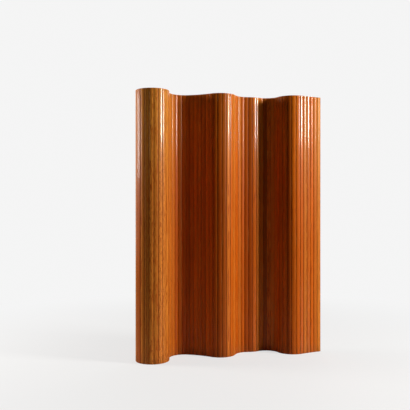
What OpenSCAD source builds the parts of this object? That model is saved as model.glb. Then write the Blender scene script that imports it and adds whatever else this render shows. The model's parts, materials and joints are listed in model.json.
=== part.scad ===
// Flexible slat screen: upright wooden slats, each with a rounded nose on one
// long edge and a cove on the other, strung side by side on steel wires.
// Millimetres, +Z up, the floor at z = 0 and the origin in the middle of the
// floor outline. The front of the screen looks towards -Y.

/* [Slats] */
// Number of slats
slat_count = 57; // [3:1:57]
// Height of every slat
slat_height = 1500; // [600:10:2400]
// Distance from one hinge line to the next
slat_pitch = 24.5; // [22:0.5:32]
// Thickness of a slat at the crest of its two crowned faces
slat_thickness = 14; // [13:0.5:18]
// Radius of the crown on the front and back faces
crown_radius = 40; // [34:1:120]
// Width of the chamfers at the top and bottom of both faces
end_chamfer = 1.5; // [0.5:0.1:3]

/* [Hinge joints] */
// Radius of the rounded nose, whose centre line is the hinge line
nose_radius = 4.8; // [4.4:0.1:5]
// Gap between a nose and the cove that it turns in
hinge_clearance = 0.1; // [0.05:0.05:0.3]
// Angle of nose that a cove wraps on each side of its middle
cove_wrap = 58; // [48:1:60]
// Bevel on the outer corners of the cove lips
lip_bevel = 0.8; // [0.3:0.1:1.2]
// Greatest bend of one joint, either way
bend_limit = 18; // [16:1:20]

/* [Wires] */
// Number of wires
wire_count = 3; // [2:1:6]
// Diameter of a wire
wire_diameter = 3; // [2:0.1:4]
// Height of the lowest wire, and depth of the highest one below the top
wire_inset = 150; // [60:10:250]
// Gap between a wire and the wall of its bore
wire_clearance = 0.5; // [0.3:0.1:0.8]
// Wire left standing out of each ferrule
wire_tail = 1; // [0.5:0.1:1.5]

/* [Ferrules] */
// Outer diameter of a ferrule
ferrule_diameter = 5.6; // [5:0.1:6.4]
// Length of a ferrule
ferrule_length = 6; // [4:0.5:9]
// Gap between a ferrule and its counterbore
ferrule_clearance = 0.4; // [0.2:0.1:0.6]
// Gap between a crimped ferrule and its wire
crimp_clearance = 0.05; // [0.02:0.01:0.1]
// Depth of the outer end of a ferrule below the tip of the nose
ferrule_recess = 3; // [2.5:0.5:4]

/* [Standing shape] */
// Direction of the first slat in plan, from the width of the screen
first_heading = -80; // [-90:5:90]

/* [Hidden] */
$fn = 72;

// The curve the screen stands in, as runs of joints from the left end:
// number of joints in the run and bend of each in degrees, positive where
// the row turns away from the front.
curve_runs = [
    [11, 16], [1, -1], [7, -15], [6, -4],
    [6, 16], [1, 11], [4, -16], [1, -3],
    [2, 16], [6, -17], [5, 16], [1, 14],
    [5, -1],
];

cut = 1;
flare_margin = 2;
wire_sides = 8;

bore_radius = wire_diameter / 2 + wire_clearance;
cove_radius = nose_radius + hinge_clearance;
lip_x = cove_radius * cos(cove_wrap);
lip_y = crown_height(lip_x);
counterbore_radius = ferrule_diameter / 2 + ferrule_clearance;
ferrule_outer_x = nose_radius - ferrule_recess;
ferrule_inner_x = ferrule_outer_x - ferrule_length;
wire_end_x = ferrule_outer_x + wire_tail;

joint_bends = [for (run = curve_runs) for (j = [1 : run[0]]) run[1]];
headings = [
    for (k = 0, h = first_heading; k < slat_count; h = h + joint_bend(k), k = k + 1) h
];
row_points = [
    for (k = 0, p = [0, 0]; k <= slat_count; p = p + slat_step(k), k = k + 1) p
];
outline_points = concat(
    [for (k = [0 : slat_count - 1], side = [-1, 1]) face_crest(k, side)],
    [for (k = [0, slat_count], turn = [0 : 90 : 270]) row_points[k] + nose_radius * direction(turn)]
);
row_middle = [
    (min([for (p = outline_points) p.x]) + max([for (p = outline_points) p.x])) / 2,
    (min([for (p = outline_points) p.y]) + max([for (p = outline_points) p.y])) / 2,
];
hinge_points = [for (p = row_points) p - row_middle];
wire_heights = [
    for (w = [0 : wire_count - 1])
        wire_inset + w * (slat_height - 2 * wire_inset) / (wire_count - 1)
];

// Half the thickness of a slat at the distance x from its left hinge line
function crown_height(x) =
    sqrt(crown_radius ^ 2 - (x - slat_pitch / 2) ^ 2) - crown_radius + slat_thickness / 2;

// Bend of the joint after slat k, straight on past the end of the curve
function joint_bend(k) = k < len(joint_bends) ? joint_bends[k] : 0;

// Way from the left to the right hinge line of slat k
function slat_step(k) =
    k < slat_count ? slat_pitch * direction(headings[k]) : [0, 0];

// Middle of the front face (side -1) or the back face (side 1) of slat k
function face_crest(k, side) =
    (row_points[k] + row_points[k + 1]) / 2
        + side * slat_thickness / 2 * direction(headings[k] + 90);

function direction(angle) = [cos(angle), sin(angle)];

function slat_name(k) = str("slat_", k < 9 ? "0" : "", k + 1);

// Puts the children in the place of slat k, its left hinge line at their origin
module at_slat(k) {
    translate(hinge_points[k])
        rotate(headings[k])
            children();
}

// The crowned bar between two hinge lines, from the lip to the nose
module crowned_blank(left_x) {
    intersection() {
        for_both_faces()
            translate([slat_pitch / 2, slat_thickness / 2 - crown_radius])
                circle(crown_radius);
        translate([left_x, -slat_thickness])
            square([slat_pitch - left_x, 2 * slat_thickness]);
    }
}

// Intersects the children with their mirror image behind the middle plane
module for_both_faces() {
    intersection() {
        children();
        mirror([0, 1])
            children();
    }
}

// The wedge that bevels the outer corner of a lip
module lip_cutter() {
    reach = cut + lip_bevel;
    polygon([
        [lip_x - reach, lip_y - lip_bevel - reach],
        [lip_x + lip_bevel + reach, lip_y + reach],
        [lip_x - reach, lip_y + reach],
    ]);
}

// Cross section of a slat with a cove on the left and a nose on the right
module slat_section() {
    difference() {
        union() {
            crowned_blank(lip_x);
            translate([slat_pitch, 0])
                circle(nose_radius);
        }
        circle(cove_radius);
        lip_cutter();
        mirror([0, 1])
            lip_cutter();
    }
}

// Cross section of the first slat, with a nose on both edges
module first_section() {
    crowned_blank(0);
    for (x = [0, slat_pitch])
        translate([x, 0])
            circle(nose_radius);
}

// The wedge that chamfers the upper edge of the back face
module end_cutter() {
    face_y = slat_thickness / 2;
    translate([-slat_pitch, 0, 0])
        rotate([90, 0, 90])
            linear_extrude(3 * slat_pitch)
                polygon([
                    [face_y - end_chamfer - cut, slat_height + cut],
                    [face_y + cut, slat_height - end_chamfer - cut],
                    [face_y + cut, slat_height + cut],
                ]);
}

module all_end_cutters() {
    for (face = [0, 1])
        mirror([0, face, 0]) {
            end_cutter();
            translate([0, 0, slat_height])
                mirror([0, 0, 1])
                    end_cutter();
        }
}

// A cylinder or cone along +X, from x0 to x1
module along_x(x0, x1, r0, r1) {
    translate([x0, 0, 0])
        rotate([0, 90, 0])
            cylinder(h = x1 - x0, r1 = r0, r2 = r1);
}

// The way of one wire through a slat, flared in the nose for the bend
module wire_bore() {
    flare_length = nose_radius + cut;
    flare_radius = bore_radius + flare_length * tan(bend_limit + flare_margin);
    along_x(-nose_radius - cut, slat_pitch + cut / 2, bore_radius, bore_radius);
    along_x(slat_pitch, slat_pitch + flare_length, bore_radius, flare_radius);
}

// The seat of a ferrule in the nose at the right hinge line
module counterbore() {
    along_x(slat_pitch + ferrule_inner_x, slat_pitch + nose_radius + cut,
        counterbore_radius, counterbore_radius);
}

// Turns the children end for end, so that what was on the right is on the left
module at_left_edge() {
    translate([slat_pitch, 0, 0])
        mirror([1, 0, 0])
            children();
}

module slat(k) {
    first = k == 0;
    last = k == slat_count - 1;
    tone = 1 + 0.1 * sin(137 * k);
    color([0.72 * tone, 0.40 * tone, 0.16 * tone])
        at_slat(k)
            difference() {
                linear_extrude(slat_height)
                    if (first)
                        first_section();
                    else
                        slat_section();
                all_end_cutters();
                for (z = wire_heights)
                    translate([0, 0, z]) {
                        wire_bore();
                        if (first)
                            at_left_edge()
                                counterbore();
                        if (last)
                            counterbore();
                    }
            }
}

// Points of a wire's middle line, from ferrule to ferrule through every hinge line
function wire_path() = [
    hinge_points[0] - wire_end_x * direction(headings[0]),
    for (k = [1 : slat_count - 1]) hinge_points[k],
    hinge_points[slat_count] + wire_end_x * direction(headings[slat_count - 1]),
];

// Ring k of a wire, in the plane that halves the bend there
function wire_ring(k, path, z) =
    let (
        before = headings[max(k - 1, 0)],
        after = headings[min(k, slat_count - 1)],
        across = direction((before + after) / 2 + 90) / cos((after - before) / 2),
        r = wire_diameter / 2
    )
    [
        for (s = [0 : wire_sides - 1])
            let (
                turn = 360 * s / wire_sides,
                spot = path[k] + r * cos(turn) * across
            )
            [spot.x, spot.y, z + r * sin(turn)]
    ];

// A wire as one tube, with a ring at each hinge line
module wire(z) {
    path = wire_path();
    rings = len(path);
    points = [for (k = [0 : rings - 1]) each wire_ring(k, path, z)];
    side_faces = [
        for (k = [0 : rings - 2])
            for (s = [0 : wire_sides - 1])
                let (
                    a = k * wire_sides + s,
                    b = k * wire_sides + (s + 1) % wire_sides
                )
                each [[a, b, a + wire_sides], [b, b + wire_sides, a + wire_sides]]
    ];
    start_face = [for (s = [wire_sides - 1 : -1 : 0]) s];
    end_face = [for (s = [0 : wire_sides - 1]) (rings - 1) * wire_sides + s];
    polyhedron(points, concat(side_faces, [start_face, end_face]));
}

module wires() {
    color([0.62, 0.63, 0.65])
        for (z = wire_heights)
            wire(z);
}

// One crimped ferrule at each wire, seated in the right edge of a slat
module edge_ferrules() {
    for (z = wire_heights)
        translate([0, 0, z])
            difference() {
                along_x(slat_pitch + ferrule_inner_x, slat_pitch + ferrule_outer_x,
                    ferrule_diameter / 2, ferrule_diameter / 2);
                along_x(slat_pitch + ferrule_inner_x - cut, slat_pitch + ferrule_outer_x + cut,
                    wire_diameter / 2 + crimp_clearance, wire_diameter / 2 + crimp_clearance);
            }
}

module ferrules_left() {
    color([0.76, 0.62, 0.32])
        at_slat(0)
            at_left_edge()
                edge_ferrules();
}

module ferrules_right() {
    color([0.76, 0.62, 0.32])
        at_slat(slat_count - 1)
            edge_ferrules();
}

for (k = [0 : slat_count - 1])
    slat(k);
wires();
ferrules_left();
ferrules_right();
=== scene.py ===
import json
import math

import bpy
import numpy as np
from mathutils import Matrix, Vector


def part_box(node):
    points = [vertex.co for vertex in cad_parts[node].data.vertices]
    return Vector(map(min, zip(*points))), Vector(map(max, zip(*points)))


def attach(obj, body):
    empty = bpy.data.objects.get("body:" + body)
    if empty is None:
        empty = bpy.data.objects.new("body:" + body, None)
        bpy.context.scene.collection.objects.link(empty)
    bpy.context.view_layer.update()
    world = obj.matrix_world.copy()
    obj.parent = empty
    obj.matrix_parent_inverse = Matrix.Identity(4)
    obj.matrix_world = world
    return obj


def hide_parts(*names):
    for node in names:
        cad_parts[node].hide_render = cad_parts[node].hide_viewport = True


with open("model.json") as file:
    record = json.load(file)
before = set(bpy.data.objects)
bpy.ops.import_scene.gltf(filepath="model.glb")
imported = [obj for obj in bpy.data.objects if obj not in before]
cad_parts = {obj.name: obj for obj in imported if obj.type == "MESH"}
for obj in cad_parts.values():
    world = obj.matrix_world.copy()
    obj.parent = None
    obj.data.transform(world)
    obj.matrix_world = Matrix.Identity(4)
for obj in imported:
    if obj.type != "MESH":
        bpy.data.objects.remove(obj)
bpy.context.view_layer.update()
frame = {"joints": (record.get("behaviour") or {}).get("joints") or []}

# Sizes of a slat, in metres, and the steps of its arcs
MM = 0.001
THICKNESS = 14 * MM
CROWN_RADIUS = 40 * MM
NOSE_RADIUS = 4.8 * MM
COVE_RADIUS = 4.9 * MM
COVE_WRAP = math.radians(58)
LIP_BEVEL = 0.8 * MM
END_CHAMFER = 1.5 * MM
CORNER_EASE = 0.25 * MM
NOSE_STEPS = 28
FACE_STEPS = 30
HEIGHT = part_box("slat_01")[1].z

# Edges that bend by more degrees than this stay sharp in the shading, on slats, wires and ferrules
SLAT_EDGE = 35
WIRE_EDGE = 60
FERRULE_EDGE = 40

# Sizes of the wires, their bores and their ferrules
WIRE_RADIUS = 1.5 * MM
WIRE_INSET = 150 * MM
WIRE_HEIGHTS = np.array([WIRE_INSET, HEIGHT / 2, HEIGHT - WIRE_INSET])
WIRE_TAIL = 1 * MM
BORE_RADIUS = 2 * MM
FLARE_ANGLE = math.radians(20)
COUNTERBORE_RADIUS = 3.2 * MM
FERRULE_RADIUS = 2.8 * MM
FERRULE_OUTER = 1.8 * MM
FERRULE_LENGTH = 6 * MM
FERRULE_EASE = 0.4 * MM
CRIMP_PLACES = np.array([0.33, 0.67])
CRIMP_WIDTH = 0.8 * MM
CRIMP_DEPTH = 0.22 * MM
STRAND_DIP = 0.14
OVERCUT = 1 * MM

# The photograph's viewpoint, worked out from the outline of the screen
CAMERA_PLACE = (-0.1492, -3.4135, 0.8535)
IMAGE_SIZE = 410
FOCAL_PIXELS = 600
SENSOR_WIDTH = 36
HORIZON_PIXELS = 1.98

# The soft lights: azimuth, distance, height, size, radiance and colour of each, in metres and degrees.
# Azimuth is 0 in front and grows to the right. All are aimed at one height over the middle of the floor.
WHITE = (1, 1, 1)
WARM_WHITE = (1.0, 0.97, 0.93)
SOFT_LIGHTS = {
    "key": (72, 4.0, 2.5, (0.9, 0.7), 55.0, WARM_WHITE),
    "key_fill": (72, 4.0, 1.9, (0.9, 0.5), 64.0, WARM_WHITE),
    "left_panel": (-94, 3.0, 1.55, (0.9, 0.8), 29.0, (1.0, 0.95, 0.90)),
    "back_panel": (160, 3.2, 2.2, (1.6, 1.6), 1.6, WHITE),
}
LIGHT_AIM = 0.75

# The backdrop's tone, and the strength of the fill: before the screen, behind it, and what reflections get
# on top of that from behind. It goes over from one to the other between two values of a ray's y.
PALE = (0.91, 0.91, 0.91, 1)
FILL_BEFORE = 0.02
FILL_BEHIND = 0.25
REFLECTED_FILL = 0.5
FILL_CHANGE = -0.1, 0.6

# The floor's side, and its tone to the camera. Then a near and a far distance and the value at each, for
# what the floor throws back on the screen and for the backdrop's share in what the camera sees of it.
FLOOR_SIDE = 12.0
FLOOR_TONE = (0.85, 0.85, 0.85, 1)
FLOOR_BOUNCE = 0.4, 1.5, 0.48, 0.14
BACKDROP_SHARE = 0.7, 2.6, 0.72, 1.0

# Colours of the wood in linear light, from yellow boards to red ones
EARLY_YELLOW = (0.81, 0.31, 0.044, 1)
EARLY_RED = (0.77, 0.150, 0.004, 1)
LATE_YELLOW = (0.50, 0.110, 0.008, 1)
LATE_RED = (0.46, 0.070, 0.003, 1)

# Tints that multiply the wood: of dark boards, where the darkest level is painted shade, and of the tops,
# where it is a painted sheen
DARK_AND_SHADED_TINT = (0.50, 0.44, 0.35, 1)
TOP_SHEEN_TINT = (1.12, 1.36, 1.45, 1)

# Noises that bend the rings: scale per ring, per ring and per metre, detail, and reach in rings
FLAMES = (0.22, 0.22, 12), 1, 6.0
WANDER = (0.035, 0.035, 2.4), 2, 5.0
UNEVEN_YEARS = (0.6, 0.6, 0.6), 1, 1.6
RAGGED_EDGES = (1.2, 1.2, 26), 2, 0.22

# Other noises in the wood: scale, detail and, for the fibres, how strong the detail is
FIBRES = (5.5, 5.5, 30), 4, 0.6
CLOUDS = (0.55, 0.55, 1.7), 2
WEAR_PATCHES = (0.4, 0.4, 9), 3

# How much late wood there is along one year, and by what the fibres and the clouds multiply the wood
YEAR_PROFILE = (0.0, 0.0), (0.38, 0.04), (0.72, 0.62), (0.9, 1.0), (1.0, 0.0)
FIBRE_TONE = 0.72, 1.20
CLOUD_TONE = 0.80, 1.15

# Roughness of sound wood, by its fibres, and of worn wood, and the share of the gloss that each keeps
SOUND_ROUGHNESS = 0.34, 0.46
WORN_ROUGHNESS = 0.6
GLOSS_KEPT = 0.65, 0.08

# Where wear lies, and the grime and painted shade in the grooves, from none to full, in shares of a slat's
# width and, for the foot, of its height
GROOVE_LEFT = 0.14, 0.09
GROOVE_RIGHT = 0.98, 1.0
BESIDE_LEFT = 0.24, 0.145
BESIDE_RIGHT = 0.90, 0.985
FOOT_REACH = 0.045, 0.0

# Levels of the patches' noise at which rubbing and scuffing start and are full
RUBBED_PATCH = 0.48, 0.66
SCUFFED_PATCH = 0.3, 0.7

# What wear, dirt and painted shade lay over the wood: each mask, its strength and its colour. The groove's
# dark colour is grime and painted shade between the slats
WEAR = (
    ("Rubbed", 0.35, (0.88, 0.42, 0.10, 1)),
    ("GrooveGrimeAndShade", 0.52, (0.17, 0.025, 0.001, 1)),
    ("Foot", 0.4, (0.16, 0.07, 0.025, 1)),
    ("End", 0.6, (0.14, 0.055, 0.016, 1)),
)

# Each metal's colour, its colour under a film, and its roughness
STEEL = (0.62, 0.62, 0.63, 1), (0.42, 0.41, 0.40, 1), 0.3
BRASS = (0.72, 0.52, 0.22, 1), (0.42, 0.28, 0.11, 1), 0.32

# Noises on the metals: scale per metre and detail
SCRATCHES = (300, 300, 2500), 3
FILM = (180, 180, 180), 3


def hinge_lines():
    """Plan points of all hinge lines, from left to right, and the pitch between them. The inner lines
    are the joints. Each outer line lies one pitch from its neighbour, towards the ferrules there."""
    joints = sorted(frame["joints"], key=lambda joint: joint["name"])
    inner = np.array([joint["pos_m"][:2] for joint in joints])
    pitch = np.linalg.norm(inner[1] - inner[0])

    def outer(neighbour, ferrules):
        low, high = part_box(ferrules)
        way = np.array((low + high).xy) / 2 - neighbour
        return neighbour + pitch * way / np.linalg.norm(way)

    ends = outer(inner[0], "ferrules_left"), outer(inner[-1], "ferrules_right")
    return np.vstack([ends[0], inner, ends[1]]), pitch


LINES, PITCH = hinge_lines()
SLATS = len(LINES) - 1
AHEAD = (LINES[1:] - LINES[:-1]) / PITCH
BACK = np.stack([-AHEAD[:, 1], AHEAD[:, 0]], axis=1)


def placed(points, k):
    """Points of slat k's own frame, x from its left hinge line and y to the back, in the row's frame:
    the line's place plus x times the slat's way plus y times the way square to it."""
    plan = LINES[k] + points[:, :1] * AHEAD[k] + points[:, 1:2] * BACK[k]
    return np.column_stack([plan, points[:, 2]])


def arc(centre, radius, start, end, steps):
    """Points on a circle at even steps of angle: the centre plus the radius times cosine and sine."""
    angle = np.linspace(start, end, steps + 1)
    return np.column_stack([centre[0] + radius * np.cos(angle), centre[1] + radius * np.sin(angle)])


def eased(outline, reach, steps=3):
    """The closed outline with each corner sharper than 20 degrees replaced by a parabola that starts and
    ends the reach away, or less on a short side. It is (1 - t) squared of the start, 2 t (1 - t) of the
    corner and t squared of the end. Points that fall together become one."""
    before = outline - np.roll(outline, 1, axis=0)
    after = np.roll(outline, -1, axis=0) - outline
    run_in = np.linalg.norm(before, axis=1, keepdims=True)
    run_out = np.linalg.norm(after, axis=1, keepdims=True)
    turn = (before * after).sum(axis=1, keepdims=True) / (run_in * run_out)
    sharp = turn < math.cos(math.radians(20))
    cut = np.where(sharp, np.minimum(reach, 0.4 * np.minimum(run_in, run_out)), 0)
    start = outline - cut * before / run_in
    end = outline + cut * after / run_out
    t = np.linspace(0, 1, steps + 1)[None, :, None]
    curve = (1 - t) ** 2 * start[:, None] + 2 * t * (1 - t) * outline[:, None] + t**2 * end[:, None]
    points = curve.reshape(-1, 2)
    gap = np.linalg.norm(points - np.roll(points, 1, axis=0), axis=1)
    return points[gap > 0.001 * MM]


def crown_depth(x):
    """Half the thickness of a slat at x: the height of the crown's circle above the middle plane."""
    return np.sqrt(CROWN_RADIUS**2 - (x - PITCH / 2) ** 2) - CROWN_RADIUS + THICKNESS / 2


def slat_outline(first):
    """Outline of a slat seen from above, counterclockwise: nose, back face, cove, front face, all of them
    arcs. The first slat has a second nose in the cove's place."""
    quarter = math.pi / 2
    nose = arc((PITCH, 0), NOSE_RADIUS, -quarter, quarter, NOSE_STEPS)
    crown_centre = (PITCH / 2, THICKNESS / 2 - CROWN_RADIUS)
    shoulder_angle = math.acos(PITCH / 2 / CROWN_RADIUS)
    if first:
        back = arc(crown_centre, CROWN_RADIUS, shoulder_angle, math.pi - shoulder_angle, FACE_STEPS)
        left = arc((0, 0), NOSE_RADIUS, quarter, 3 * quarter, NOSE_STEPS)
    else:
        lip_x = COVE_RADIUS * math.cos(COVE_WRAP)
        lip_y = crown_depth(lip_x)
        # The bevel runs up at 45 degrees until it meets the crown
        meet = lip_x + LIP_BEVEL
        for _ in range(4):
            meet = lip_x + LIP_BEVEL + crown_depth(meet) - lip_y
        meet_angle = math.acos((meet - PITCH / 2) / CROWN_RADIUS)
        back = arc(crown_centre, CROWN_RADIUS, shoulder_angle, meet_angle, FACE_STEPS)
        back = np.vstack([back, [lip_x, lip_y - LIP_BEVEL]])
        left = arc((0, 0), COVE_RADIUS, COVE_WRAP, -COVE_WRAP, NOSE_STEPS)
    front = back[::-1] * (1, -1)
    return eased(np.vstack([nose, back, left, front]), CORNER_EASE)


def ring_heights(chamfer_steps=6, body_steps=40):
    """Heights of the rings of a slat: close together in the two chamfers and even between them."""
    edge = np.linspace(0, END_CHAMFER, chamfer_steps + 1)
    body = np.linspace(END_CHAMFER, HEIGHT - END_CHAMFER, body_steps + 1)[1:-1]
    return np.concatenate([edge, body, HEIGHT - edge[::-1]])


def wall_faces(rings, sides):
    """Four-sided faces between rings of points that go round counterclockwise, seen from the last ring."""
    start = np.arange(rings - 1)[:, None] * sides
    here = start + np.arange(sides)
    there = start + (np.arange(sides) + 1) % sides
    return np.stack([here, there, there + sides, here + sides], axis=-1).reshape(-1, 4).tolist()


def closed_tube(rings):
    """Points and faces of a tube from an array of rings, with a flat face at both ends."""
    count, sides = rings.shape[:2]
    last = (count - 1) * sides
    ends = [list(range(sides))[::-1], list(range(last, last + sides))]
    return rings.reshape(-1, 3), wall_faces(count, sides) + ends


def swept_slat(outline):
    """A slat's outline at every height, its depth held within the 45 degree chamfers: at most half the
    thickness, less the chamfer, plus the distance from the nearer end."""
    heights = ring_heights()
    limit = THICKNESS / 2 - END_CHAMFER + np.minimum(heights, HEIGHT - heights)
    x = np.broadcast_to(outline[:, 0], (len(heights), len(outline)))
    y = np.clip(outline[:, 1], -limit[:, None], limit[:, None])
    z = np.broadcast_to(heights[:, None], x.shape)
    return closed_tube(np.stack([x, y, z], axis=-1))


def turned(x, radius, height, sides=32):
    """A solid turned about a line along X at a height: one ring of the given radius at each x, with y
    and z the radius times cosine and sine."""
    angle = np.arange(sides) * 2 * math.pi / sides
    y = radius[:, None] * np.cos(angle)
    z = radius[:, None] * np.sin(angle) + height
    rings = np.stack([np.broadcast_to(x[:, None], y.shape), y, z], axis=-1)
    return closed_tube(rings)


def joined(parts):
    """Several (points, faces) as one."""
    shift, points, faces = 0, [], []
    for part_points, part_faces in parts:
        points.append(part_points)
        faces += [[corner + shift for corner in face] for face in part_faces]
        shift += len(part_points)
    return np.vstack(points), faces


def new_mesh(name, points, faces, sharp_past):
    """A smooth mesh whose edges stay sharp past an angle in degrees."""
    mesh = bpy.data.meshes.new(name)
    mesh.from_pydata(points.tolist(), [], faces)
    mesh.update()
    mesh.shade_smooth()
    mesh.set_sharp_from_angle(angle=math.radians(sharp_past))
    return mesh


def new_object(name, mesh):
    """An object in the scene that holds a mesh, a lamp or a camera."""
    piece = bpy.data.objects.new(name, mesh)
    bpy.context.scene.collection.objects.link(piece)
    return piece


def bore_cutter(counterbore_left, counterbore_right):
    """The way of the wires through a slat: bores that flare in the nose, with a wide seat for the
    ferrules in an outer edge."""
    flare_length = NOSE_RADIUS + OVERCUT
    flare_radius = BORE_RADIUS + flare_length * math.tan(FLARE_ANGLE)
    seat_depth = FERRULE_LENGTH - FERRULE_OUTER
    step = 0.01 * MM
    x = [-flare_length, PITCH, PITCH + flare_length]
    radius = [BORE_RADIUS, BORE_RADIUS, flare_radius]
    if counterbore_left:
        x = [-flare_length, seat_depth, seat_depth + step] + x[1:]
        radius = [COUNTERBORE_RADIUS] * 2 + [BORE_RADIUS] + radius[1:]
    if counterbore_right:
        seat = PITCH - seat_depth
        flare_starts = PITCH + (COUNTERBORE_RADIUS - BORE_RADIUS) / math.tan(FLARE_ANGLE)
        x = [x[0], seat - step, seat, flare_starts, x[2]]
        radius = [BORE_RADIUS] * 2 + [COUNTERBORE_RADIUS] * 2 + [flare_radius]
    return joined([turned(np.array(x), np.array(radius), height) for height in WIRE_HEIGHTS])


def bored_slat(name, first=False, last=False):
    """The mesh of one kind of slat in its own frame, with its bores cut."""
    slat = new_object(name, new_mesh(name, *swept_slat(slat_outline(first)), SLAT_EDGE))
    cutter_name = name + "_cutter"
    cutter = new_object(cutter_name, new_mesh(cutter_name, *bore_cutter(first, last), SLAT_EDGE))
    cut = slat.modifiers.new("bores", "BOOLEAN")
    cut.operation = "DIFFERENCE"
    cut.solver = "EXACT"
    cut.object = cutter
    result = slat.evaluated_get(bpy.context.evaluated_depsgraph_get())
    mesh = bpy.data.meshes.new_from_object(result)
    mesh.set_sharp_from_angle(angle=math.radians(SLAT_EDGE))
    bpy.data.objects.remove(slat)
    bpy.data.objects.remove(cutter)
    return mesh


def points_of(mesh):
    """All points of a mesh, one to a row."""
    flat = np.empty(len(mesh.vertices) * 3, np.float32)
    mesh.vertices.foreach_get("co", flat)
    return flat.reshape(-1, 3).astype(float)


def set_attribute(mesh, name, values):
    """A value with three parts for every vertex of a mesh."""
    attribute = mesh.attributes.new(name, "FLOAT_VECTOR", "POINT")
    attribute.data.foreach_set("vector", values.astype(np.float32).ravel())


def smoothstep(value, low, high):
    """From 0 at low to 1 at high, as 3 t squared less 2 t cubed."""
    t = np.clip((value - low) / (high - low), 0, 1)
    return t * t * (3 - 2 * t)


# What sets one board apart from the next, drawn once for all slats. The first boards, at the left end, are
# yellower. The boards that stand out are given by level, counted from 1 at the left end.
# Tone level 0 is painted shade on the boards in the shaded valleys and flanks. Tone level 1 is painted
# light on lit boards.
YELLOWER_BOARDS = 17
TONE_SHADE_AND_LIGHT_LEVELS = {0.0: (18, 19, 20, 28, 29, 37, 38, 42, 49), 0.8: (31, 43, 55), 1.0: (6, 8, 9, 10, 39, 40)}
RED_LEVELS = {
    0.42: (4, 7, 8, 9, 10, 57),
    0.7: (16, 30, 32, 35, 56),
    1.0: (17, 26, 27, 28, 31, 34, 37, 38, 39, 50, 52, 55),
}
GLOSS_LEVELS = {
    0.08: (18, 36, 56, 57),
    0.45: (2, 3, 9, 17),
    0.6: (30, 53),
    0.8: (8,),
    1.0: (39, 40, 52, 54),
}
CURL_LEVELS = {0.6: (6, 7, 43), 1.0: (5, 8, 9)}
CURLY_FROM = 0.5
draw = np.random.default_rng(1935)
RING_GAP = draw.uniform(1.9, 3.4, SLATS) * MM
PITH_WAY = draw.normal(90, 34, SLATS) + 180 * draw.integers(0, 2, SLATS)
PITH_DISTANCE = draw.uniform(18, 85, SLATS) * MM
PITH_LEAN = draw.normal(0, 0.009, (SLATS, 2))
BOARD_START = draw.uniform(0, 40, SLATS)
TONE = np.clip(draw.normal(0.62, 0.17, SLATS), 0, 1)
REDNESS = draw.normal(0.8, 0.2, SLATS)
REDNESS[:YELLOWER_BOARDS] -= 0.45
REDNESS = np.clip(REDNESS, 0, 1)
CONTRAST = draw.uniform(0.45, 1.0, SLATS)
LEAN_WAVES = draw.uniform(0.35, 1.1, SLATS)
WAVE_START = draw.uniform(0, 2 * math.pi, (SLATS, 2))
GLOSS = draw.uniform(0.14, 0.3, SLATS)
CURL = np.full(SLATS, 0.25)


def set_levels(values, levels):
    """Gives each board named for a level that level."""
    for level, boards in levels.items():
        values[np.array(boards) - 1] = level


set_levels(TONE, TONE_SHADE_AND_LIGHT_LEVELS)
set_levels(REDNESS, RED_LEVELS)
set_levels(GLOSS, GLOSS_LEVELS)
set_levels(CURL, CURL_LEVELS)

# Curly boards are sawn flat, with the pith straight behind the face, and show their figure most
FLAT_SAWN = CURL > CURLY_FROM
PITH_WAY[FLAT_SAWN] = 90
PITH_DISTANCE[FLAT_SAWN] = 70 * MM
CONTRAST[FLAT_SAWN] = 1

# How far the faces are from true: slope, depth and rate of their waves, and how near the edges they stop
LEAN_SLOPE = 0.005
SWELL_DEPTH = 0.04 * MM
SWELL_RATE = 1.7
TRUE_EDGE = 3 * MM

# Share of the height above which a painted sheen makes the boards lighter and yellower, and depth of the
# points that count as the end faces
SHEEN_START = 0.55
END_DEPTH = 0.05 * MM


def seasoned(points, k):
    """The two faces of slat k lean and swell by up to a tenth of a millimetre along its height, as seasoned
    wood does: y grows by a sine of z times the distance from the middle of the face, and by a second sine
    of z away from the middle plane. The hinge edges stay true."""
    x, y, z = points.T
    inside = smoothstep(np.minimum(x - COVE_RADIUS, PITCH - x), 0, TRUE_EDGE)
    face = inside * (np.abs(y) > COVE_RADIUS)
    turn = 2 * math.pi * z / LEAN_WAVES[k]
    lean = LEAN_SLOPE * np.sin(turn + WAVE_START[k, 0]) * (x - PITCH / 2)
    swell = SWELL_DEPTH * np.sign(y) * np.sin(SWELL_RATE * turn + WAVE_START[k, 1])
    return np.column_stack([x, y + face * (lean + swell), z])


def grain_place(points, k):
    """Where each point of slat k lies in its tree: its distances from the pith, divided by the width of a
    ring, and its height in metres. The pith leans a little against the slat, by a slope of z, so that the
    rings run out of its faces in long arches."""
    way = math.radians(PITH_WAY[k])
    pith = PITCH / 2 + PITH_DISTANCE[k] * math.cos(way), PITH_DISTANCE[k] * math.sin(way)
    x, y, z = points.T
    across = (x - pith[0] - PITH_LEAN[k, 0] * (z - HEIGHT / 2)) / RING_GAP[k]
    deep = (y - pith[1] - PITH_LEAN[k, 1] * (z - HEIGHT / 2)) / RING_GAP[k]
    return np.column_stack([across, deep, z + BOARD_START[k]])


def spot_on_slat(points):
    """Share of the width, share of the height, and 1 on the end faces."""
    x, _, z = points.T
    end = (np.minimum(z, HEIGHT - z) < END_DEPTH).astype(float)
    return np.column_stack([x / PITCH, z / HEIGHT, end])


def sheen_gloss_and_curl(points, k):
    """How strong the painted sheen on slat k is, from 0 below to 1 at the top, where it makes the wood
    lighter and yellower as where the light falls, how full its gloss still is, and how curly the grain is
    under it."""
    top_sheen = smoothstep(points[:, 2] / HEIGHT, SHEEN_START, 1.0)
    return np.column_stack([top_sheen, np.full_like(top_sheen, GLOSS[k]), np.full_like(top_sheen, CURL[k])])


# Shader nodes

VECTOR = "NodeSocketVector"
FLOAT = "NodeSocketFloat"


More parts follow.
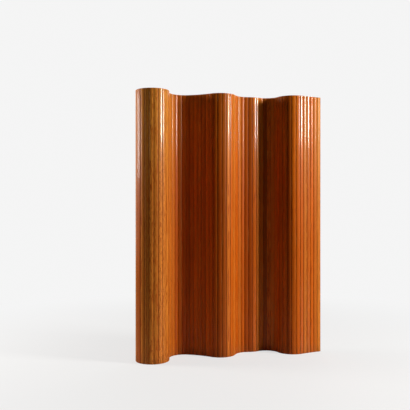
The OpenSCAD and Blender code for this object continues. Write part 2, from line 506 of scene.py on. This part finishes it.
def add(tree, kind, inputs=None, **settings):
    """A new node. An input is given by name or number, as a socket to link or a value to hold."""
    node = tree.nodes.new(kind)
    for name, value in settings.items():
        setattr(node, name, value)
    for key, value in (inputs or {}).items():
        if isinstance(value, bpy.types.NodeSocket):
            tree.links.new(value, node.inputs[key])
        else:
            node.inputs[key].default_value = value
    return node


def maths(tree, operation, a, b=0.0):
    """The result of an operation on one or two numbers."""
    return add(tree, "ShaderNodeMath", {0: a, 1: b}, operation=operation).outputs[0]


def mixed(tree, share, a, b, blend="MIX"):
    """A colour between a and b, or a with b blended in."""
    node = add(tree, "ShaderNodeMix", {0: share, 6: a, 7: b}, data_type="RGBA", blend_type=blend)
    return node.outputs[2]


def noise(tree, place, scale, detail, rough=0.5):
    """Noise between 0 and 1 at a place that is first scaled by a number for each axis."""
    scaled = add(tree, "ShaderNodeVectorMath", {0: place, 1: scale}, operation="MULTIPLY").outputs[0]
    inputs = {"Vector": scaled, "Scale": 1.0, "Detail": detail, "Roughness": rough}
    return add(tree, "ShaderNodeTexNoise", inputs).outputs["Fac"]


def ranged(tree, value, low, high, to_low=0.0, to_high=1.0, smooth=True):
    """The value's place between low and high, clamped, and stretched to another range."""
    inputs = {0: value, 1: low, 2: high, 3: to_low, 4: to_high}
    kind = "SMOOTHSTEP" if smooth else "LINEAR"
    return add(tree, "ShaderNodeMapRange", inputs, interpolation_type=kind).outputs[0]


def spread(tree, value, to_low, to_high):
    """A noise, which mostly lies between 0.3 and 0.7, stretched to another range in a straight line."""
    return ranged(tree, value, 0.3, 0.7, to_low, to_high, smooth=False)


def ramp(tree, value, stops):
    """A colour ramp through (place, grey level) stops."""
    node = add(tree, "ShaderNodeValToRGB", {0: value})
    band = node.color_ramp
    band.interpolation = "EASE"
    for place, _ in stops[1:-1]:
        band.elements.new(place)
    for element, (place, level) in zip(band.elements, stops):
        element.position = place
        element.color = (level, level, level, 1)
    return node.outputs[0]


def new_group(name, inputs, outputs):
    """An empty node group with named sockets, and the sockets of its two end nodes."""
    tree = bpy.data.node_groups.new(name, "ShaderNodeTree")
    for socket, kind in inputs.items():
        tree.interface.new_socket(socket, in_out="INPUT", socket_type=kind)
    for socket in outputs:
        tree.interface.new_socket(socket, in_out="OUTPUT", socket_type=FLOAT)
    return tree, tree.nodes.new("NodeGroupInput").outputs, tree.nodes.new("NodeGroupOutput").inputs


def growth_rings_group():
    """Late wood, fine fibres and broad clouds, each from 0 to 1, at a place given in rings and metres. A
    ring's phase is the fraction of the distance from the pith in rings, plus a slow wander, flames as
    strong as the curl, uneven years and ragged edges."""
    tree, given, out = new_group(
        "growth_rings", {"Place": VECTOR, "Curl": FLOAT}, ["Late", "Fibre", "Broad"]
    )
    place = given["Place"]

    def bend(at, scale, detail, reach, middle=0.0):
        """A noise less its middle, times its reach."""
        level = maths(tree, "SUBTRACT", noise(tree, at, scale, detail), middle)
        return maths(tree, "MULTIPLY", level, reach)

    flames = maths(tree, "MULTIPLY", bend(place, *FLAMES, middle=0.5), given["Curl"])
    wander = bend(place, *WANDER, middle=0.5)
    flat = add(tree, "ShaderNodeVectorMath", {0: place, 1: (1, 1, 0)}, operation="MULTIPLY").outputs[0]
    radius = add(tree, "ShaderNodeVectorMath", {0: flat}, operation="LENGTH").outputs["Value"]
    bent = maths(tree, "ADD", maths(tree, "ADD", radius, wander), flames)
    year = add(tree, "ShaderNodeCombineXYZ", {0: bent}).outputs[0]
    uneven = bend(year, *UNEVEN_YEARS)
    ragged = bend(place, *RAGGED_EDGES)
    phase = maths(tree, "FRACT", maths(tree, "ADD", maths(tree, "ADD", bent, uneven), ragged))
    tree.links.new(ramp(tree, phase, YEAR_PROFILE), out["Late"])
    tree.links.new(noise(tree, place, *FIBRES), out["Fibre"])
    tree.links.new(noise(tree, place, *CLOUDS), out["Broad"])
    return tree


def edge_wear_group():
    """Masks from the spot on a slat, as shares of its width and height: the hinge groove, darkened by grime
    and painted shade, the rubbed edges beside it, the scuffed foot and the end faces. Wear is broken up by
    patches in the grain."""
    tree, given, out = new_group(
        "edge_wear", {"Spot": VECTOR, "Place": VECTOR}, ["GrooveGrimeAndShade", "Rubbed", "Foot", "End"]
    )
    share, height, end = add(tree, "ShaderNodeSeparateXYZ", {0: given["Spot"]}).outputs
    broken = noise(tree, given["Place"], *WEAR_PATCHES)
    left = ranged(tree, share, *GROOVE_LEFT)
    right = ranged(tree, share, *GROOVE_RIGHT)
    groove = maths(tree, "MAXIMUM", left, right)
    near_left = ranged(tree, share, *BESIDE_LEFT)
    near_right = ranged(tree, share, *BESIDE_RIGHT)
    beside = maths(tree, "SUBTRACT", maths(tree, "MAXIMUM", near_left, near_right), groove)
    rubbed = maths(tree, "MULTIPLY", beside, ranged(tree, broken, *RUBBED_PATCH))
    low = ranged(tree, height, *FOOT_REACH)
    foot = maths(tree, "MULTIPLY", low, ranged(tree, broken, *SCUFFED_PATCH))
    tree.links.new(groove, out["GrooveGrimeAndShade"])
    tree.links.new(rubbed, out["Rubbed"])
    tree.links.new(foot, out["Foot"])
    tree.links.new(end, out["End"])
    return tree


def placed_group(tree, group, inputs):
    """The outputs of a node group placed in a material."""
    node = tree.nodes.new("ShaderNodeGroup")
    node.node_tree = group
    for key, value in inputs.items():
        tree.links.new(value, node.inputs[key])
    return node.outputs


def new_material(name):
    """A material with nodes, its tree, and its Principled shader."""
    material = bpy.data.materials.new(name)
    material.use_nodes = True
    tree = material.node_tree
    return material, tree, tree.nodes["Principled BSDF"]


def attribute(tree, name):
    """The three parts of a value that a mesh holds at its points."""
    return add(tree, "ShaderNodeAttribute", attribute_name=name).outputs["Vector"]


def varnished_pine():
    """Amber pine under clear gloss varnish, each board with its own tone, redness and figure. The darkest
    boards and the grooves carry painted shade, the palest boards painted light, and the tops a painted
    sheen.
    """
    material, tree, shader = new_material("varnished_pine")
    place = attribute(tree, "grain_place")
    spot = attribute(tree, "spot_on_slat")
    board = attribute(tree, "board_tone")
    tone, red, contrast = add(tree, "ShaderNodeSeparateXYZ", {0: board}).outputs
    varnish = attribute(tree, "sheen_gloss_and_curl")
    top_sheen, full, curl = add(tree, "ShaderNodeSeparateXYZ", {0: varnish}).outputs
    rings = placed_group(tree, growth_rings_group(), {"Place": place, "Curl": curl})
    wear = placed_group(tree, edge_wear_group(), {"Spot": spot, "Place": place})

    early = mixed(tree, red, EARLY_YELLOW, EARLY_RED)
    # On boards at tone level 0 this dark tint is painted shade
    early = mixed(tree, tone, mixed(tree, 1.0, early, DARK_AND_SHADED_TINT, "MULTIPLY"), early)
    late = mixed(tree, red, LATE_YELLOW, LATE_RED)
    figure = maths(tree, "MULTIPLY", rings["Late"], contrast)
    wood = mixed(tree, figure, early, late)
    streak = spread(tree, rings["Fibre"], *FIBRE_TONE)
    cloud = spread(tree, rings["Broad"], *CLOUD_TONE)
    level = maths(tree, "MULTIPLY", streak, cloud)
    grey = add(tree, "ShaderNodeCombineXYZ", {0: level, 1: level, 2: level}).outputs[0]
    wood = mixed(tree, 1.0, wood, grey, "MULTIPLY")
    # Painted sheen: the upper part of each board is lighter and yellower, as where the light falls
    wood = mixed(tree, top_sheen, wood, mixed(tree, 1.0, wood, TOP_SHEEN_TINT, "MULTIPLY"))
    # The groove's colour is partly grime and partly painted shade between the slats
    for mask, strength, colour in WEAR:
        wood = mixed(tree, maths(tree, "MULTIPLY", wear[mask], strength), wood, colour)
    tree.links.new(wood, shader.inputs["Base Color"])

    worn = maths(tree, "MAXIMUM", maths(tree, "MAXIMUM", wear["GrooveGrimeAndShade"], wear["End"]), wear["Foot"])
    sound = spread(tree, rings["Fibre"], *SOUND_ROUGHNESS)
    rough = add(tree, "ShaderNodeMix", {0: worn, 2: sound, 3: WORN_ROUGHNESS}).outputs[0]
    tree.links.new(rough, shader.inputs["Roughness"])
    height = maths(tree, "ADD", maths(tree, "MULTIPLY", rings["Late"], 0.5), rings["Fibre"])
    bump = add(tree, "ShaderNodeBump", {"Strength": 0.25, "Distance": 0.0001, "Height": height})
    tree.links.new(bump.outputs[0], shader.inputs["Normal"])
    coat = maths(tree, "MULTIPLY", ranged(tree, worn, 0.2, 0.8, *GLOSS_KEPT), full)
    tree.links.new(coat, shader.inputs["Coat Weight"])
    shader.inputs["Coat Roughness"].default_value = 0.13
    shader.inputs["Specular IOR Level"].default_value = 0.1
    shader.inputs["IOR"].default_value = 1.5
    return material


def drawn_metal(name, colour, dark, roughness):
    """Metal with fine level scratches and a duller film in patches."""
    material, tree, shader = new_material(name)
    spot = add(tree, "ShaderNodeTexCoord").outputs["Object"]
    scratches = noise(tree, spot, *SCRATCHES)
    film = noise(tree, spot, *FILM)
    tree.links.new(mixed(tree, ranged(tree, film, 0.4, 0.7), colour, dark), shader.inputs["Base Color"])
    rough = ranged(tree, scratches, 0.3, 0.7, roughness - 0.08, roughness + 0.12)
    tree.links.new(rough, shader.inputs["Roughness"])
    bump = add(tree, "ShaderNodeBump", {"Strength": 0.2, "Distance": 0.00005, "Height": scratches})
    tree.links.new(bump.outputs[0], shader.inputs["Normal"])
    shader.inputs["Metallic"].default_value = 1.0
    return material


# The pieces


def make_slats(wood):
    """Every slat, in place of its plain CAD node."""
    kinds = [bored_slat("first_kind", first=True)]
    kinds += [bored_slat("inner_kind")] * (SLATS - 2)
    kinds += [bored_slat("last_kind", last=True)]
    for k, kind in enumerate(kinds):
        mesh = kind.copy()
        own = points_of(mesh)
        set_attribute(mesh, "grain_place", grain_place(own, k))
        set_attribute(mesh, "spot_on_slat", spot_on_slat(own))
        tone = np.array([TONE[k], REDNESS[k], CONTRAST[k]])
        set_attribute(mesh, "board_tone", np.broadcast_to(tone, own.shape))
        set_attribute(mesh, "sheen_gloss_and_curl", sheen_gloss_and_curl(own, k))
        mesh.vertices.foreach_set("co", placed(seasoned(own, k), k).astype(np.float32).ravel())
        mesh.update()
        mesh.materials.append(wood)
        piece = new_object(f"board_{k + 1:02d}", mesh)
        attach(piece, f"slat_body_{k + 1:02d}")
        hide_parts(f"slat_{k + 1:02d}")


def wire_run(start, end, along, sides=24, steps=10):
    """Rings of a stranded wire along X: six rounded strands that turn once every three half pitches, and
    domed ends. The radius dips between strands, by the sine of three times the angle less the twist."""
    dome = np.linspace(-math.pi / 2, 0, 4)[1:-1]
    tip = WIRE_RADIUS * np.sin(dome)
    body = np.linspace(start, end, steps + 1)
    x = np.concatenate([start + tip, body, end - tip[::-1]])[:, None]
    full = np.concatenate([np.cos(dome), np.ones(len(body)), np.cos(dome)[::-1]])[:, None]
    angle = np.arange(sides) * 2 * math.pi / sides
    twist = 2 * math.pi * (x + along) / (PITCH * 3 / 2)
    lobe = 1 - STRAND_DIP + STRAND_DIP * np.abs(np.sin(3 * (angle - twist)))
    radius = WIRE_RADIUS * full * lobe
    y = radius * np.cos(angle)
    z = radius * np.sin(angle)
    return np.stack([np.broadcast_to(x, radius.shape), y, z], axis=-1)


def make_wires(steel):
    """The wires in runs from hinge line to hinge line, so that they bend with the screen at each joint."""
    wire_end = FERRULE_OUTER + WIRE_TAIL
    for k in range(SLATS):
        start = -wire_end if k == 0 else 0.0
        end = PITCH + wire_end if k == SLATS - 1 else PITCH
        rings = wire_run(start, end, k * PITCH)
        points, faces = joined([closed_tube(rings + (0, 0, height)) for height in WIRE_HEIGHTS])
        mesh = new_mesh(f"wire_run_{k + 1:02d}", placed(points, k), faces, WIRE_EDGE)
        mesh.materials.append(steel)
        piece = new_object(mesh.name, mesh)
        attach(piece, f"slat_body_{k + 1:02d}")
        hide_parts("wires")


def crimped_sleeve(start, end, height, rings=25, sides=36):
    """A ferrule about a wire along X, eased at both ends and pressed in at two bands with six flats: the
    radius dips by a bell curve of x round each band, times a wave of six times the angle. Its end faces
    reach into the wire."""
    x = np.linspace(start, end, rings)
    angle = np.arange(sides) * 2 * math.pi / sides
    from_end = np.minimum(x - start, end - x)
    body = FERRULE_RADIUS - FERRULE_EASE * np.sqrt(np.clip(1 - from_end / FERRULE_EASE, 0, 1))
    bands = start + (end - start) * CRIMP_PLACES
    bell = np.exp(-(((x[:, None] - bands) / CRIMP_WIDTH) ** 2)).sum(axis=1)
    press = CRIMP_DEPTH * bell[:, None] * (1 - 0.6 * np.cos(6 * angle))
    inner = np.full(sides, 0.8 * WIRE_RADIUS)
    radius = np.vstack([inner, body[:, None] - press, inner])
    x = np.concatenate([x[:1], x, x[-1:]])
    y = radius * np.cos(angle)
    z = radius * np.sin(angle) + height
    return closed_tube(np.stack([np.broadcast_to(x[:, None], y.shape), y, z], axis=-1))


def make_ferrules(brass):
    """Three crimped ferrules in each outer edge."""
    inner = FERRULE_OUTER - FERRULE_LENGTH
    sides = [
        ("left", 0, -FERRULE_OUTER, -inner),
        ("right", SLATS - 1, PITCH + inner, PITCH + FERRULE_OUTER),
    ]
    for side, k, start, end in sides:
        points, faces = joined([crimped_sleeve(start, end, height) for height in WIRE_HEIGHTS])
        mesh = new_mesh(f"crimped_ferrules_{side}", placed(points, k), faces, FERRULE_EDGE)
        mesh.materials.append(brass)
        piece = new_object(mesh.name, mesh)
        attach(piece, f"slat_body_{k + 1:02d}")
        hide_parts(f"ferrules_{side}")


# The studio


def make_camera():
    """A level camera at the photograph's viewpoint, shifted up to put the horizon where it was."""
    data = bpy.data.cameras.new("camera")
    data.sensor_width = SENSOR_WIDTH
    data.lens = FOCAL_PIXELS / IMAGE_SIZE * SENSOR_WIDTH
    data.shift_y = HORIZON_PIXELS / IMAGE_SIZE
    camera = new_object("camera", data)
    camera.location = CAMERA_PLACE
    camera.rotation_euler = (math.pi / 2, 0, 0)
    bpy.context.scene.camera = camera


def soft_box(name, azimuth, distance, height, size, radiance, colour):
    """A soft light whose power gives the radiance asked for, whatever its size."""
    data = bpy.data.lights.new(name, "AREA")
    data.shape = "RECTANGLE"
    data.size, data.size_y = size
    data.energy = radiance * math.pi * size[0] * size[1]
    data.color = colour
    light = new_object(name, data)
    angle = math.radians(azimuth)
    light.location = (distance * math.sin(angle), -distance * math.cos(angle), height)
    way = light.location.copy()
    way.z -= LIGHT_AIM
    light.rotation_euler = way.to_track_quat("Z", "Y").to_euler()
    light.visible_camera = False


def make_world():
    """Pale to the camera, and a dim fill to everything else. The fill is brighter behind the screen than
    before it, and more so in reflections."""
    world = bpy.data.worlds.new("studio")
    world.use_nodes = True
    tree = world.node_tree
    bpy.context.scene.world = world
    background = tree.nodes["Background"]
    way = add(tree, "ShaderNodeTexCoord").outputs["Generated"]
    _, y, _ = add(tree, "ShaderNodeSeparateXYZ", {0: way}).outputs
    rays = add(tree, "ShaderNodeLightPath").outputs
    more = maths(tree, "MULTIPLY", rays["Is Glossy Ray"], REFLECTED_FILL)
    fill = ranged(tree, y, *FILL_CHANGE, FILL_BEFORE, maths(tree, "ADD", FILL_BEHIND, more))
    strength = add(tree, "ShaderNodeMix", {0: rays["Is Camera Ray"], 2: fill, 3: 1.0}).outputs[0]
    background.inputs["Color"].default_value = PALE
    tree.links.new(strength, background.inputs["Strength"])


def make_floor():
    """A pale floor that shows the camera the backdrop's tone, mixed with lit floor near the screen so that
    the screen's shadows show there and fade out with distance."""
    half = FLOOR_SIDE / 2
    corners = [(-half, -half, 0), (half, -half, 0), (half, half, 0), (-half, half, 0)]
    mesh = bpy.data.meshes.new("floor")
    mesh.from_pydata(corners, [], [(0, 1, 2, 3)])
    material, tree, shader = new_material("pale_floor")
    shader.inputs["Roughness"].default_value = 0.7
    glow = add(tree, "ShaderNodeEmission", {"Color": PALE, "Strength": 1.0}).outputs[0]
    place = add(tree, "ShaderNodeTexCoord").outputs["Object"]
    away = add(tree, "ShaderNodeVectorMath", {0: place}, operation="LENGTH").outputs["Value"]
    seen = add(tree, "ShaderNodeLightPath").outputs["Is Camera Ray"]
    tone = mixed(tree, seen, ranged(tree, away, *FLOOR_BOUNCE), FLOOR_TONE)
    tree.links.new(tone, shader.inputs["Base Color"])
    share = maths(tree, "MULTIPLY", ranged(tree, away, *BACKDROP_SHARE), seen)
    both = add(tree, "ShaderNodeMixShader", {0: share, 1: shader.outputs[0], 2: glow}).outputs[0]
    tree.links.new(both, tree.nodes["Material Output"].inputs["Surface"])
    mesh.materials.append(material)
    new_object("floor", mesh)


make_camera()
make_world()
make_floor()
for name, light in SOFT_LIGHTS.items():
    soft_box(name, *light)
make_slats(varnished_pine())
make_wires(drawn_metal("drawn_steel", *STEEL))
make_ferrules(drawn_metal("aged_brass", *BRASS))
bpy.context.scene.view_settings.view_transform = "Standard"
